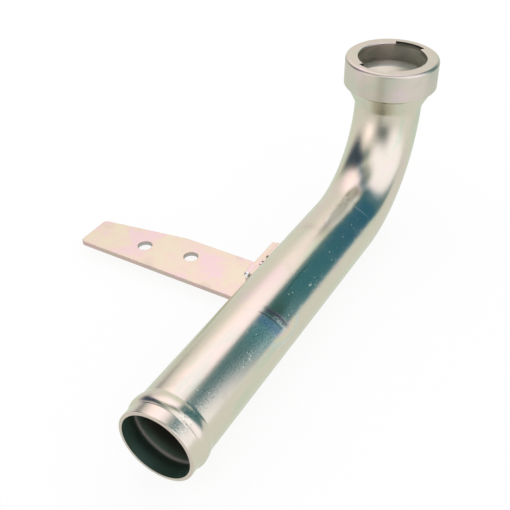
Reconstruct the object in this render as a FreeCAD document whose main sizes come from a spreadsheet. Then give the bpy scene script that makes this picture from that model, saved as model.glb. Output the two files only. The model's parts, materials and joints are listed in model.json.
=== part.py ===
import FreeCAD, Part
import os
import Sketcher

# Oil filler pipe: a steel tube with one square bend and a beaded hose end, a bayonet filler
# neck brazed to its upper end, and a folded bracket welded to its side.
# Millimetres. The origin is the centre of the hose end's rim. +Y runs along the tube to the
# bend, +Z runs up the filler neck, and the bracket reaches out along -X.

SIZES = [
    ("tube_diameter", 40.0, "outside of the tube"),
    ("tube_wall", 1.8, "wall of the tube"),
    ("straight_length", 191.0, "hose end's rim to the start of the bend"),
    ("bend_radius", 58.0, "bend, at the tube's centre line"),
    ("neck_run", 2.4, "straight tube between the bend and the flare"),
    ("flare_drop", 8.0, "flare of the tube's upper end, below the neck"),
    ("flare_ledge", 3.5, "neck's underside that stands out round the flare"),
    ("rim_chamfer", 0.4, "broken outer edge of the hose end's rim"),
    ("spigot_length", 6.5, "rim to the hose bead"),
    ("bead_rise", 1.2, "height of the hose bead above the tube"),
    ("bead_front", 3.0, "steep side of the bead, along the tube"),
    ("bead_back", 5.5, "gentle side of the bead, along the tube"),
    ("neck_diameter", 55.0, "outside of the filler neck"),
    ("neck_height", 16.7, "height of the filler neck"),
    ("neck_wall", 3.4, "side wall of the filler neck"),
    ("funnel_rise", 3.8, "cone inside the neck's foot, from the flare to the side wall"),
    ("neck_chamfer", 1.0, "broken upper outer edge of the neck"),
    ("lip_thickness", 3.0, "lip that the cap's lugs turn under"),
    ("lip_bore", 40.0, "mouth inside the lip"),
    ("lip_chamfer", 0.8, "broken upper inner edge of the lip"),
    ("notch_diameter", 46.0, "across the two notches in the lip"),
    ("notch_width", 50.0, "width of a notch, degrees"),
    ("notch_turn", 82.0, "middle of the first notch from +X, degrees"),
    ("braze_reach", 0.8, "braze fillet, out along the neck's underside"),
    ("braze_drop", 1.0, "braze fillet, down the flare"),
    ("sheet_thickness", 3.0, "sheet of the bracket"),
    ("bracket_station", 131.4, "rim to the middle of the bracket"),
    ("bracket_width", 33.8, "bracket, along the tube"),
    ("bracket_drop", 12.5, "tube's axis down to the plate's upper face"),
    ("bracket_reach", 140.5, "tube's axis to the plate's free end"),
    ("taper_start", 84.0, "tube's axis to the start of the plate's taper"),
    ("taper_depth", 9.5, "how much narrower the free end is"),
    ("corner_radius", 3.0, "corners of the free end"),
    ("fold_radius", 3.0, "inside of the fold"),
    ("flange_rise", 8.0, "tube's axis up to the flange's edge"),
    ("flange_width", 31.4, "flange, along the tube"),
    ("bolt_hole", 8.7, "holes in the plate"),
    ("outer_hole_reach", 102.5, "tube's axis to the outer hole"),
    ("outer_hole_shift", -1.8, "bracket's middle to the outer hole, along +Y"),
    ("inner_hole_reach", 72.0, "tube's axis to the inner hole"),
    ("inner_hole_shift", 2.7, "bracket's middle to the inner hole, along +Y"),
    ("weld_radius", 2.0, "round of the weld along the flange's edge"),
    ("weld_depth", 1.0, "weld's middle inside the flange's inner edge, both ways"),
    ("nugget_diameter", 4.0, "lump at the start of the weld"),
    ("nugget_top", 0.6, "top of the lump above the flange's edge"),
]

UP = FreeCAD.Vector(0, 0, 1)

doc = FreeCAD.newDocument("OilFillerPipe")
sheet = doc.addObject("Spreadsheet::Sheet", "Sizes")
for row, (alias, size, meaning) in enumerate(SIZES, start=1):
    sheet.set(f"A{row}", alias)
    sheet.set(f"B{row}", str(size))
    sheet.setAlias(f"B{row}", alias)
    sheet.set(f"C{row}", meaning)
doc.recompute()

# Sizes that follow from the sheet, as expressions
tube_radius = "(Sizes.tube_diameter / 2)"
bore_radius = "(Sizes.tube_diameter / 2 - Sizes.tube_wall)"
bead_crest = "(Sizes.spigot_length + Sizes.bead_front)"
bead_end = "(Sizes.spigot_length + Sizes.bead_front + Sizes.bead_back)"
neck_station = "(Sizes.straight_length + Sizes.bend_radius)"
flare_start = "(Sizes.bend_radius + Sizes.neck_run)"
neck_base = "(Sizes.bend_radius + Sizes.neck_run + Sizes.flare_drop)"
neck_radius = "(Sizes.neck_diameter / 2)"
flare_radius = "(Sizes.neck_diameter / 2 - Sizes.flare_ledge)"
flare_inside = "(Sizes.neck_diameter / 2 - Sizes.flare_ledge - Sizes.tube_wall)"
cavity_radius = "(Sizes.neck_diameter / 2 - Sizes.neck_wall)"
lip_radius = "(Sizes.lip_bore / 2)"
lip_underside = "(Sizes.neck_height - Sizes.lip_thickness)"
notch_radius = "(Sizes.notch_diameter / 2)"
half_notch = "(Sizes.notch_width / 2)"
flange_outside = "(Sizes.tube_diameter / 2 + Sizes.sheet_thickness)"
fold_start = "(Sizes.tube_diameter / 2 + Sizes.sheet_thickness + Sizes.fold_radius)"
fold_height = "(Sizes.fold_radius - Sizes.bracket_drop)"
plate_back = "(Sizes.bracket_station + Sizes.bracket_width / 2)"
plate_front = "(Sizes.bracket_station - Sizes.bracket_width / 2)"
flange_back = "(Sizes.bracket_station + Sizes.flange_width / 2)"
flange_front = "(Sizes.bracket_station - Sizes.flange_width / 2)"


def value_of(expression):
    return float(sheet.evalExpression(expression))


def add_body(label):
    body = doc.addObject("PartDesign::Body", label.title().replace("_", ""))
    body.Label = label
    return body


def add_sketch(body, name, plane_role):
    plane = next(part for part in body.Origin.OriginFeatures if part.Role == plane_role)
    sketch = body.newObject("Sketcher::SketchObject", name)
    sketch.AttachmentSupport = (plane, [""])
    sketch.MapMode = "FlatFace"
    return sketch


def bind_point(sketch, geometry, position, name, x=None, y=None):
    for kind, expression in (("DistanceX", x), ("DistanceY", y)):
        if expression is None:
            continue
        place = Sketcher.Constraint(kind, -1, 1, geometry, position, value_of(expression))
        index = sketch.addConstraint(place)
        sketch.renameConstraint(index, f"{name}_{kind[-1].lower()}")
        sketch.setExpression(f"Constraints[{index}]", expression)


def arc_between(start, end, centre_x, turn):
    # Arc through two points with its centre at a given x, anticlockwise where turn is 1.
    rise = end.y - start.y
    centre_y = (end.y ** 2 - start.y ** 2 + (end.x - centre_x) ** 2 - (start.x - centre_x) ** 2) / (2 * rise)
    centre = FreeCAD.Vector(centre_x, centre_y, 0)
    circle = Part.Circle(centre, UP, (start - centre).Length)
    first, last = (start, end) if turn > 0 else (end, start)
    return Part.ArcOfCircle(circle, circle.parameter(first), circle.parameter(last))


def draw_outline(sketch, corners, arcs=None, closed=True):
    # Lines through the corners, each a pair of expressions. arcs gives the round edges: the
    # number of the corner that one starts from, its centre's x and its turn.
    arcs = arcs or {}
    points = [FreeCAD.Vector(value_of(x), value_of(y), 0) for x, y in corners]
    count = len(points) if closed else len(points) - 1
    first_edge = sketch.GeometryCount
    for number in range(count):
        start = points[number]
        end = points[(number + 1) % len(points)]
        if number in arcs:
            centre_x, turn = arcs[number]
            sketch.addGeometry(arc_between(start, end, value_of(centre_x), turn))
        else:
            sketch.addGeometry(Part.LineSegment(start, end))

    def tip(number, at_end):
        reversed_arc = number in arcs and arcs[number][1] < 0
        return first_edge + number, 2 if at_end != reversed_arc else 1

    for number in range(count if closed else count - 1):
        following = (number + 1) % count
        sketch.addConstraint(Sketcher.Constraint("Coincident", *tip(number, True), *tip(following, False)))
    for number, (x, y) in enumerate(corners):
        geometry, position = tip(number, False) if number < count else tip(number - 1, True)
        bind_point(sketch, geometry, position, f"corner{first_edge + number}", x, y)
    for number, (centre_x, turn) in arcs.items():
        bind_point(sketch, first_edge + number, 3, f"centre{first_edge + number}", centre_x)


def draw_circle(sketch, name, x, y, diameter):
    centre = FreeCAD.Vector(value_of(x), value_of(y), 0)
    circle = Part.Circle(centre, UP, value_of(diameter) / 2)
    geometry = sketch.addGeometry(circle)
    bind_point(sketch, geometry, 3, name, x, y)
    index = sketch.addConstraint(Sketcher.Constraint("Diameter", geometry, value_of(diameter)))
    sketch.setExpression(f"Constraints[{index}]", diameter)


def revolve(body, name, sketch, axis):
    feature = body.newObject("PartDesign::Revolution", name)
    feature.Profile = sketch
    feature.ReferenceAxis = (sketch, [axis])
    feature.Angle = 360
    return feature


def cut_through(body, name, sketch):
    feature = body.newObject("PartDesign::Pocket", name)
    feature.Profile = sketch
    feature.Type = "ThroughAll"
    return feature


def place_on_neck(body):
    body.setExpression("Placement.Base.y", neck_station)
    body.setExpression("Placement.Base.z", neck_base)


def make_tube():
    # The hose end is its wall section turned about the axis, the rest is a ring swept along
    # the run and the bend, and the upper end opens into a flare under the neck.
    body = add_body("filler_tube")
    wall = add_sketch(body, "HoseEndWall", "YZ_Plane")
    crest_inside = f"{bore_radius} + Sizes.bead_rise"
    crest_outside = f"{tube_radius} + Sizes.bead_rise"
    corners = [
        ("0", bore_radius),
        ("Sizes.spigot_length", bore_radius),
        (bead_crest, crest_inside),
        (bead_end, bore_radius),
        (bead_end, tube_radius),
        (bead_crest, crest_outside),
        ("Sizes.spigot_length", tube_radius),
        ("Sizes.rim_chamfer", tube_radius),
        ("0", f"{tube_radius} - Sizes.rim_chamfer"),
    ]
    arcs = {
        1: (bead_crest, -1),
        2: (bead_crest, -1),
        4: (bead_crest, 1),
        5: (bead_crest, 1),
    }
    draw_outline(wall, corners, arcs)
    revolve(body, "HoseEnd", wall, "H_Axis")

    ring = add_sketch(body, "TubeRing", "XZ_Plane")
    ring.setExpression("AttachmentOffset.Base.z", f"-{bead_end}")
    draw_circle(ring, "outside", "0", "0", "Sizes.tube_diameter")
    draw_circle(ring, "inside", "0", "0", "Sizes.tube_diameter - 2 * Sizes.tube_wall")
    path = add_sketch(body, "TubePath", "YZ_Plane")
    corners = [
        (bead_end, "0"),
        ("Sizes.straight_length", "0"),
        (neck_station, "Sizes.bend_radius"),
        (neck_station, flare_start),
    ]
    draw_outline(path, corners, {1: ("Sizes.straight_length", 1)}, closed=False)
    run = body.newObject("PartDesign::AdditivePipe", "TubeRun")
    run.Profile = ring
    run.Spine = (path, [])

    flare = add_sketch(body, "FlareWall", "XZ_Plane")
    flare.setExpression("AttachmentOffset.Base.z", f"-{neck_station}")
    corners = [
        (bore_radius, flare_start),
        (tube_radius, flare_start),
        (flare_radius, neck_base),
        (flare_inside, neck_base),
    ]
    draw_outline(flare, corners)
    revolve(body, "Flare", flare, "V_Axis")
    return body


def make_neck():
    # A turned cup: the lip overhangs a wider cavity that narrows to the flare below, and two
    # notches let the cap's lugs in.
    body = add_body("filler_neck")
    place_on_neck(body)
    section = add_sketch(body, "NeckSection", "XZ_Plane")
    corners = [
        (flare_inside, "0"),
        (neck_radius, "0"),
        (neck_radius, "Sizes.neck_height - Sizes.neck_chamfer"),
        (f"{neck_radius} - Sizes.neck_chamfer", "Sizes.neck_height"),
        (f"{lip_radius} + Sizes.lip_chamfer", "Sizes.neck_height"),
        (lip_radius, "Sizes.neck_height - Sizes.lip_chamfer"),
        (lip_radius, lip_underside),
        (cavity_radius, lip_underside),
        (cavity_radius, "Sizes.funnel_rise"),
    ]
    draw_outline(section, corners)
    revolve(body, "NeckCup", section, "V_Axis")

    sector = add_sketch(body, "NotchSector", "XY_Plane")
    sector.AttachmentOffset = FreeCAD.Placement(FreeCAD.Vector(), FreeCAD.Rotation(UP, 1))
    sector.setExpression("AttachmentOffset.Base.z", "Sizes.neck_height")
    sector.setExpression("AttachmentOffset.Rotation.Angle", "Sizes.notch_turn")
    side_x = f"{notch_radius} * cos({half_notch})"
    side_y = f"{notch_radius} * sin({half_notch})"
    corners = [("0", "0"), (side_x, f"-{side_y}"), (side_x, side_y)]
    draw_outline(sector, corners, {1: ("0", 1)})
    notch = body.newObject("PartDesign::Pocket", "Notch")
    notch.Profile = sector
    notch.setExpression("Length", "Sizes.lip_thickness")
    notches = body.newObject("PartDesign::PolarPattern", "Notches")
    notches.Originals = [notch]
    notches.Axis = (section, ["V_Axis"])
    notches.Angle = 360
    notches.Occurrences = 2
    body.Tip = notches
    return body


def make_braze():
    # Fillet of braze in the corner between the neck's underside and the flare.
    body = add_body("neck_braze")
    place_on_neck(body)
    section = add_sketch(body, "BrazeSection", "XZ_Plane")
    slope = f"({flare_radius} - {tube_radius}) / Sizes.flare_drop"
    corners = [
        (flare_radius, "0"),
        (f"{flare_radius} - Sizes.braze_drop * {slope}", "-Sizes.braze_drop"),
        (f"{flare_radius} + Sizes.braze_reach", "0"),
    ]
    draw_outline(section, corners)
    revolve(body, "BrazeRing", section, "V_Axis")
    return body


def make_bracket():
    # One folded sheet: the plate lies level below the tube's axis, and the flange stands up
    # against the tube's side.
    body = add_body("mounting_bracket")
    fold = add_sketch(body, "FoldedSection", "XZ_Plane")
    fold.setExpression("AttachmentOffset.Base.z", "-Sizes.bracket_station")
    underside = "-Sizes.bracket_drop - Sizes.sheet_thickness"
    corners = [
        ("-Sizes.bracket_reach", underside),
        (f"-{fold_start}", underside),
        (f"-{tube_radius}", fold_height),
        (f"-{tube_radius}", "Sizes.flange_rise"),
        (f"-{flange_outside}", "Sizes.flange_rise"),
        (f"-{flange_outside}", fold_height),
        (f"-{fold_start}", "-Sizes.bracket_drop"),
        ("-Sizes.bracket_reach", "-Sizes.bracket_drop"),
    ]
    draw_outline(fold, corners, {1: (f"-{fold_start}", 1), 5: (f"-{fold_start}", -1)})
    sheet_metal = body.newObject("PartDesign::Pad", "FoldedSheet")
    sheet_metal.Profile = fold
    sheet_metal.SideType = "Symmetric"
    sheet_metal.setExpression("Length", "Sizes.bracket_width")

    taper = add_sketch(body, "TaperScrap", "XY_Plane")
    corners = [
        ("-Sizes.taper_start", plate_back),
        ("-Sizes.bracket_reach", plate_back),
        ("-Sizes.bracket_reach", f"{plate_back} - Sizes.taper_depth"),
    ]
    draw_outline(taper, corners)
    tapered = cut_through(body, "Taper", taper)

    ends = add_sketch(body, "FlangeScrap", "YZ_Plane")
    for near, far in ((plate_front, flange_front), (flange_back, plate_back)):
        corners = [
            (near, fold_height),
            (far, fold_height),
            (far, "Sizes.flange_rise"),
            (near, "Sizes.flange_rise"),
        ]
        draw_outline(ends, corners)
    trimmed = cut_through(body, "FlangeEnds", ends)

    doc.recompute()
    free_end = -value_of("Sizes.bracket_reach")
    upright = [
        f"Edge{number}"
        for number, edge in enumerate(trimmed.Shape.Edges, start=1)
        if abs(edge.CenterOfMass.x - free_end) < 1e-6 and abs(edge.tangentAt(edge.FirstParameter).z) > 0.999
    ]
    corners = body.newObject("PartDesign::Fillet", "FreeCorners")
    corners.Base = (trimmed, upright)
    corners.setExpression("Radius", "Sizes.corner_radius")

    holes = add_sketch(body, "BoltHoleCircles", "XY_Plane")
    for name in ("outer_hole", "inner_hole"):
        along = f"Sizes.bracket_station + Sizes.{name}_shift"
        draw_circle(holes, name, f"-Sizes.{name}_reach", along, "Sizes.bolt_hole")
    cut_through(body, "BoltHoles", holes)
    return body


def make_weld(bracket):
    # A run of weld in the groove between the flange's edge and the tube, with a lump where it
    # starts, trimmed to the faces that it joins.
    along_tube = FreeCAD.Rotation(FreeCAD.Vector(1, 0, 0), -90)
    run = doc.addObject("Part::Cylinder", "WeldRun")
    run.Placement = FreeCAD.Placement(FreeCAD.Vector(), along_tube)
    run.setExpression("Radius", "Sizes.weld_radius")
    run.setExpression("Height", "Sizes.flange_width")
    run.setExpression("Placement.Base.x", f"Sizes.weld_depth - {tube_radius}")
    run.setExpression("Placement.Base.y", flange_front)
    run.setExpression("Placement.Base.z", "Sizes.flange_rise - Sizes.weld_depth")

    nugget = doc.addObject("Part::Sphere", "WeldNugget")
    nugget.setExpression("Radius", "Sizes.nugget_diameter / 2")
    nugget.setExpression("Placement.Base.x", f"-{tube_radius} - Sizes.sheet_thickness / 2")
    nugget.setExpression("Placement.Base.y", flange_front)
    nugget.setExpression("Placement.Base.z", "Sizes.flange_rise + Sizes.nugget_top - Sizes.nugget_diameter / 2")

    tube_outside = doc.addObject("Part::Cylinder", "TubeOutside")
    tube_outside.Placement = FreeCAD.Placement(FreeCAD.Vector(), along_tube)
    tube_outside.setExpression("Radius", tube_radius)
    tube_outside.setExpression("Height", "Sizes.straight_length")

    metal = doc.addObject("Part::MultiFuse", "WeldMetal")
    metal.Shapes = [run, nugget]
    on_tube = doc.addObject("Part::Cut", "WeldOnTube")
    on_tube.Base = metal
    on_tube.Tool = tube_outside
    weld = doc.addObject("Part::Cut", "BracketWeld")
    weld.Base = on_tube
    weld.Tool = bracket
    weld.Refine = False
    weld.Label = "bracket_weld"
    return weld


bracket = make_bracket()
nodes = [make_tube(), make_neck(), make_braze(), bracket, make_weld(bracket)]
doc.recompute()

for item in doc.Objects:
    if {"Invalid", "Error"} & set(item.State):
        raise RuntimeError(f"{item.Label} failed to build: {item.State}")
for node in nodes:
    if node.Shape.isNull() or not node.Shape.isValid() or len(node.Shape.Solids) != 1:
        raise RuntimeError(f"{node.Label} is not one sound solid")

os.makedirs("parts", exist_ok=True)
for node in nodes:
    node.Shape.exportStep(f"parts/{node.Label}.step")
    print(f"{node.Label}: {node.Shape.Volume / 1000:.2f} cm3")
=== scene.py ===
import bmesh
import bpy
import json
from math import cos, exp, pi, radians, sin, sqrt, tan
from mathutils import Matrix, Vector, noise


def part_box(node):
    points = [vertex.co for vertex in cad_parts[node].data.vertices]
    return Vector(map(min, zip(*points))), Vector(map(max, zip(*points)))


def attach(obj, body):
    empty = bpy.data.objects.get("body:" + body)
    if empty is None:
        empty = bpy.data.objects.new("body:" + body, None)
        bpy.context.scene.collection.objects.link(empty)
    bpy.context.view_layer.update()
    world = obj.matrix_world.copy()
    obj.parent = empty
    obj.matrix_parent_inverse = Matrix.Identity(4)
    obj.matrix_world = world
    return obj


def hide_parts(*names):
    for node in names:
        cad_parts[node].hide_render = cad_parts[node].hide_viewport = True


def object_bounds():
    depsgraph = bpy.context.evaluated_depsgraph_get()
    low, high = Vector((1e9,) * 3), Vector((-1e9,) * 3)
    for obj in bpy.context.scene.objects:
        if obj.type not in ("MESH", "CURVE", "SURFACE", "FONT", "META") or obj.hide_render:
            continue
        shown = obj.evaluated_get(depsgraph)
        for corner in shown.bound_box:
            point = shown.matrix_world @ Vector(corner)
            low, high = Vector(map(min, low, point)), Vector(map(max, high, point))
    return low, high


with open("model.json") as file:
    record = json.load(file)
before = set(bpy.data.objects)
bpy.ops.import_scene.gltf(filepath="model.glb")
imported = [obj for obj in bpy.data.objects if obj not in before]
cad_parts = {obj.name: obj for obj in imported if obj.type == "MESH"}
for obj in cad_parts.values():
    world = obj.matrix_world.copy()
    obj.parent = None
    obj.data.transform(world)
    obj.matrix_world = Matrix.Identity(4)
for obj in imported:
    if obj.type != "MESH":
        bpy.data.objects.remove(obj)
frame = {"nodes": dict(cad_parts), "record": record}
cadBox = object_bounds()
mm = 0.001
inMm = 1000.0  # metres to millimetres
inDegrees = 180 / pi  # radians to degrees
joinGap = 1e-7  # points of a mesh closer than this are one
scene = bpy.context.scene
scene.view_settings.view_transform = "Standard"
mounts = {mount["name"]: mount for mount in frame["record"]["mounts"]}
tubeRadius = mounts["hose_end"]["dims"]["r_mm"] * mm
print("frame loaded:", ", ".join(sorted(frame["nodes"])))


# Dictionary whose values are also read by name
class Values(dict):
    __getattr__ = dict.__getitem__


# Node sockets that take plain arithmetic, for geometry and shader trees alike
class Wire:
    def __init__(self, tree, socket):
        self.tree = tree
        self.socket = socket

    def __add__(self, other):
        return calc("ADD", self, other)

    def __radd__(self, other):
        return calc("ADD", other, self)

    def __sub__(self, other):
        return calc("SUBTRACT", self, other)

    def __rsub__(self, other):
        return calc("SUBTRACT", other, self)

    def __mul__(self, other):
        return calc("MULTIPLY", self, other)

    def __truediv__(self, other):
        return calc("DIVIDE", self, other)


def feed(socket, value):
    if isinstance(value, Wire):
        value.tree.links.new(value.socket, socket)
    else:
        socket.default_value = value


def calc(operation, *values):
    tree = next(value.tree for value in values if isinstance(value, Wire))
    node = tree.nodes.new("ShaderNodeMath")
    node.operation = operation
    for socket, value in zip(node.inputs, values):
        feed(socket, value)
    return out(node)


def ramp(value, low, high, toLow=0.0, toHigh=1.0, smooth=True):
    node = value.tree.nodes.new("ShaderNodeMapRange")
    node.interpolation_type = "SMOOTHSTEP" if smooth else "LINEAR"
    node.clamp = True
    for name, setting in (("From Min", low), ("From Max", high), ("To Min", toLow), ("To Max", toHigh)):
        feed(node.inputs[name], setting)
    feed(node.inputs["Value"], value)
    return out(node, "Result")


def between(value, low, full, past, gone):
    # 0 up to low, 1 from full to past, 0 again from gone
    return ramp(value, low, full) * ramp(value, past, gone, 1.0, 0.0)


def bell(offset):
    # 1 at no offset, fading both ways
    return calc("EXPONENT", offset * offset * -1.0)


def fill(node, inputs):
    for name, value in inputs.items():
        feed(node.inputs[name.replace("_", " ")], value)
    return node


def addNode(tree, kind, **inputs):
    return fill(tree.nodes.new(kind), inputs)


def useGroup(tree, group, **inputs):
    node = tree.nodes.new("ShaderNodeGroup")
    node.node_tree = group
    return fill(node, inputs)


def out(node, name=0):
    return Wire(node.id_data, node.outputs[name])


def newTree(name, kind, inputs, outputs):
    tree = bpy.data.node_groups.new(name, kind)
    sockets = {}
    for label, socketType, value in inputs:
        item = tree.interface.new_socket(label, in_out="INPUT", socket_type="NodeSocket" + socketType)
        if value is not None:
            item.default_value = value
        sockets[label] = item.identifier
    for label, socketType in outputs:
        tree.interface.new_socket(label, in_out="OUTPUT", socket_type="NodeSocket" + socketType)
    return tree, tree.nodes.new("NodeGroupInput"), tree.nodes.new("NodeGroupOutput"), sockets


def mixColours(factor, first, second):
    # A colour mix has its factor at socket 0, its colours at 6 and 7 and its result at 2
    node = factor.tree.nodes.new("ShaderNodeMix")
    node.data_type = "RGBA"
    feed(node.inputs[0], factor)
    for socket, colour in ((node.inputs[6], first), (node.inputs[7], second)):
        feed(socket, colour if isinstance(colour, Wire) else (*colour, 1))
    return out(node, 2)


def noiseAt(place, scale, detail=2.0, roughness=0.5, distortion=0.0):
    node = addNode(place.tree, "ShaderNodeTexNoise", Vector=place, Scale=scale, Detail=detail,
                   Roughness=roughness, Distortion=distortion)
    return out(node, "Fac")


def stretched(place, scale, turn=0.0):
    spin = (0, 0, radians(turn))
    return out(addNode(place.tree, "ShaderNodeMapping", Vector=place, Scale=scale, Rotation=spin))


def axes(vector):
    node = addNode(vector.tree, "ShaderNodeSeparateXYZ", Vector=vector)
    return [out(node, name) for name in "XYZ"]


# Shared finishes
plainLook = Values(
    green=(0.53, 0.585, 0.46),
    cream=(0.59, 0.585, 0.475),
    pink=(0.64, 0.56, 0.51),
    edgeTint=(0.85, 0.92, 0.84),
    cloud=45.0,
    drift=1.0,
    grain=1800.0,
    marks=90.0,
    specks=0.15,
    speckTint=(0.30, 0.31, 0.27),
    smudge=0.18,
    smudgeTint=(0.42, 0.43, 0.38),
    rough=0.26,
    roughCloud=0.08,
    roughSmudge=0.05,
    scratch=0.6,
    bump=0.08,
    bumpDepth=0.2 * mm,
)
filmPattern = Values(
    finer=3.1,  # small clouds, against the broad ones
    finerShare=0.28,
    still=0.02,  # drift of the cloud that leaves the tint cream
    full=0.16,
)
grainPattern = Values(
    coarser=0.22,
    heightShare=0.6,  # of the fine grain, in the height and in the specks
    speckShare=0.55,
    speckRange=(0.60, 0.70),
)
handlingPattern = Values(
    scratches=[  # stretch, turn in degrees, size and range of the noise that shows
        ((1, 22, 22), 24, 1.0, (0.735, 0.77)),
        ((18, 1, 18), -17, 1.3, (0.74, 0.775)),
    ],
    smudgeSize=0.8,
    smudgeRange=(0.56, 0.74),
)


def passivateGroup(pattern):
    # Zinc passivate: a pale film whose tint drifts between green, cream and pink
    tree, start, end, _ = newTree(
        "passivateTint", "ShaderNodeTree",
        [("Place", "Vector", None),
         ("Cloud Size", "Float", plainLook.cloud),
         ("Drift", "Float", plainLook.drift),
         ("Green", "Color", (*plainLook.green, 1)),
         ("Cream", "Color", (*plainLook.cream, 1)),
         ("Pink", "Color", (*plainLook.pink, 1))],
        [("Tint", "Color"), ("Cloud", "Float")])
    place = out(start, "Place")
    size = out(start, "Cloud Size")
    broad = noiseAt(place, size, 2.0, 0.5, 0.5)
    small = noiseAt(place, size * pattern.finer, 3.0, 0.55, 0.3)
    cloud = broad * (1 - pattern.finerShare) + small * pattern.finerShare
    shift = (cloud - 0.5) * out(start, "Drift")
    greener = ramp(shift, -pattern.still, -pattern.full)
    pinker = ramp(shift, pattern.still, pattern.full)
    tint = mixColours(greener, out(start, "Cream"), out(start, "Green"))
    tint = mixColours(pinker, tint, out(start, "Pink"))
    feed(end.inputs["Tint"], tint)
    feed(end.inputs["Cloud"], cloud)
    return tree


def grainGroup(pattern):
    # Fine grain of the steel under the film, with specks where it broke through
    tree, start, end, _ = newTree(
        "steelGrain", "ShaderNodeTree",
        [("Place", "Vector", None), ("Grain Size", "Float", plainLook.grain)],
        [("Height", "Float"), ("Specks", "Float")])
    place = out(start, "Place")
    size = out(start, "Grain Size")
    fine = noiseAt(place, size, 2.0, 0.6)
    coarse = noiseAt(place, size * pattern.coarser, 3.0, 0.6)
    height = fine * pattern.heightShare + coarse * (1 - pattern.heightShare)
    speck = fine * pattern.speckShare + coarse * (1 - pattern.speckShare)
    feed(end.inputs["Height"], height)
    feed(end.inputs["Specks"], ramp(speck, *pattern.speckRange))
    return tree


def handlingGroup(pattern):
    # Short hairline scratches two ways and dull thumbed patches
    tree, start, end, _ = newTree(
        "handlingMarks", "ShaderNodeTree",
        [("Place", "Vector", None), ("Length", "Float", plainLook.marks)],
        [("Scratches", "Float"), ("Smudge", "Float")])
    place = out(start, "Place")
    size = out(start, "Length")
    ways = []
    for stretch, turn, scale, shown in pattern.scratches:
        lines = noiseAt(stretched(place, stretch, turn), size * scale, 1.0, 0.4)
        ways.append(ramp(lines, *shown))
    smudge = noiseAt(place, size * pattern.smudgeSize, 3.0, 0.6)
    feed(end.inputs["Scratches"], calc("MAXIMUM", *ways))
    feed(end.inputs["Smudge"], ramp(smudge, *pattern.smudgeRange))
    return tree


passivateTint = passivateGroup(filmPattern)
steelGrain = grainGroup(grainPattern)
handlingMarks = handlingGroup(handlingPattern)


def newMaterial(name, look):
    material = bpy.data.materials.new(name)
    material.use_nodes = True
    tree = material.node_tree
    shader = tree.nodes["Principled BSDF"]
    shader.inputs["Metallic"].default_value = 1.0
    shader.inputs["Specular Tint"].default_value = (*look.edgeTint, 1)
    place = out(tree.nodes.new("ShaderNodeTexCoord"), "Object")
    return material, tree, shader, place


def bumpFrom(tree, shader, height, look):
    bump = addNode(tree, "ShaderNodeBump", Strength=look.bump, Distance=look.bumpDepth, Height=height)
    tree.links.new(bump.outputs["Normal"], shader.inputs["Normal"])


def attribute(tree, name, output="Fac"):
    node = tree.nodes.new("ShaderNodeAttribute")
    node.attribute_type = "GEOMETRY"
    node.attribute_name = name
    return out(node, output)


def zincSteel(name, look):
    # Plain passivated surface: film, grain and handling marks
    material, tree, shader, place = newMaterial(name, look)
    film = useGroup(tree, passivateTint, Place=place, Cloud_Size=look.cloud, Drift=look.drift,
                    Green=(*look.green, 1), Cream=(*look.cream, 1), Pink=(*look.pink, 1))
    grain = useGroup(tree, steelGrain, Place=place, Grain_Size=look.grain)
    wear = useGroup(tree, handlingMarks, Place=place, Length=look.marks)
    smudge = out(wear, "Smudge")
    colour = mixColours(smudge * look.smudge, out(film, "Tint"), look.smudgeTint)
    colour = mixColours(out(grain, "Specks") * look.specks, colour, look.speckTint)
    # a look with low gets a lighter tint lower down: the notch walls' painted shade thinning
    if "low" in look:
        above = axes(place)[2] * inMm
        colour = mixColours(ramp(above, *look.fade, 1.0, 0.0), colour, look.low)
    feed(shader.inputs["Base Color"], colour)
    rough = look.rough + (out(film, "Cloud") - 0.5) * look.roughCloud + smudge * look.roughSmudge
    feed(shader.inputs["Roughness"], rough)
    bumpFrom(tree, shader, out(grain, "Height") + out(wear, "Scratches") * -look.scratch, look)
    return material


def tints(green, cream, pink):
    return {"green": green, "cream": cream, "pink": pink}


neckLook = Values(
    plainLook,
    **tints((0.55, 0.565, 0.46), (0.60, 0.555, 0.475), (0.65, 0.56, 0.54)),
    cloud=60.0,
    rough=0.36,
    drift=0.9,
)
insideLook = Values(
    plainLook,
    **tints((0.55, 0.60, 0.55), (0.60, 0.61, 0.55), (0.61, 0.58, 0.53)),
    rough=0.36,
    drift=0.7,
)
# near black: painted shade on the notch walls under the lip
notchLook = Values(
    insideLook,
    **tints((0.06, 0.065, 0.06), (0.06, 0.06, 0.055), (0.07, 0.06, 0.06)),
    low=(0.36, 0.36, 0.31),  # lighter tint low on the wall, where the painted shade thins, fading over these heights in mm
    fade=(82.9, 84.3),
)
brazeLook = Values(plainLook, cream=(0.62, 0.585, 0.475))
# dark olive: painted shade on the braze's top, under the neck's edge
brazeTopShadeLook = Values(plainLook, **tints((0.30, 0.31, 0.20), (0.32, 0.30, 0.21), (0.36, 0.30, 0.24)))
bracketLook = Values(
    plainLook,
    **tints((0.71, 0.66, 0.50), (0.72, 0.63, 0.51), (0.74, 0.60, 0.58)),
    rough=0.40,
    cloud=60.0,
    drift=1.8,
)
shearedLook = Values(
    bracketLook,
    **tints((0.52, 0.46, 0.38), (0.54, 0.43, 0.38), (0.58, 0.43, 0.40)),
    cloud=160.0,
    rough=0.45,
    bump=0.3,
)
holeLook = Values(shearedLook, **tints((0.45, 0.45, 0.40), (0.46, 0.42, 0.38), (0.48, 0.42, 0.38)))
weldLook = Values(bracketLook, cloud=220.0, bump=0.2)
# darker weld: where the run goes down to the tube and around its pits
darkWeldLook = Values(weldLook, **tints((0.22, 0.22, 0.15), (0.20, 0.17, 0.13), (0.22, 0.16, 0.14)))
# near white, paler than plated steel: partly a painted glint on the nugget
nuggetLook = Values(
    plainLook,
    **tints((0.80, 0.82, 0.80), (0.86, 0.86, 0.84), (0.86, 0.82, 0.80)),
    cloud=300.0,
    rough=0.30,
    specks=0.7,
    grain=900.0,
    drift=0.4,
)
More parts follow.
